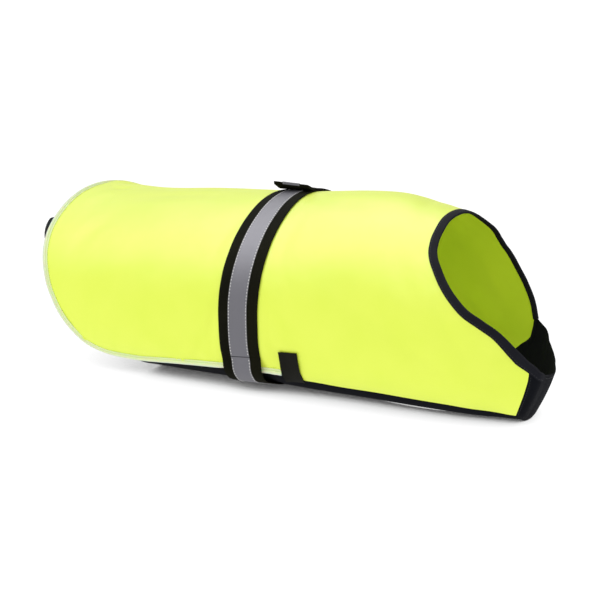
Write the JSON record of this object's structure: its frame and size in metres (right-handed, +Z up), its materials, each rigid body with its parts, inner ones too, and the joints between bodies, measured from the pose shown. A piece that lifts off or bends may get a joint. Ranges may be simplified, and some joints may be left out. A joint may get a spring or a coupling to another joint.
{
  "type": "dog safety vest",
  "caption": "Fluorescent wrap-over dog safety vest with a light-up piped hem, a belly belt that closes over the back and a black chest band, filled out as if worn.",
  "frame": {"origin": "under the middle of the vest's box, on the floor it stands on", "axes": "+X to the neck opening, +Y to the wearer's left, +Z up from the belly to the spine"},
  "size_m": [0.5686, 0.2536, 0.189],
  "materials": {
    "back_panel": "fluorescent yellow woven polyester, matte with a faint sheen",
    "under_panel": "black matte woven polyester",
    "chest_band": "black matte woven polyester",
    "neck_binding": "charcoal folded binding tape",
    "light_piping": "translucent white light tube, satin",
    "back_belt": "black woven webbing",
    "belly_belt": "black woven webbing",
    "back_belt_tape": "grey retroreflective tape, satin",
    "belly_belt_tape_right": "grey retroreflective tape, satin",
    "belly_belt_tape_left": "grey retroreflective tape, satin",
    "side_label": "black woven label, bare",
    "tail_strap": "black elastic webbing"
  },
  "bodies": {
    "root": {"back_panel": "back_panel", "under_panel": "under_panel", "chest_band": "chest_band", "neck_binding": "neck_binding", "light_piping": "light_piping", "back_belt": "back_belt", "belly_belt": "belly_belt", "back_belt_tape": "back_belt_tape", "belly_belt_tape_right": "belly_belt_tape_right", "belly_belt_tape_left": "belly_belt_tape_left", "side_label": "side_label", "tail_strap": "tail_strap"}
  },
  "joints": []
}
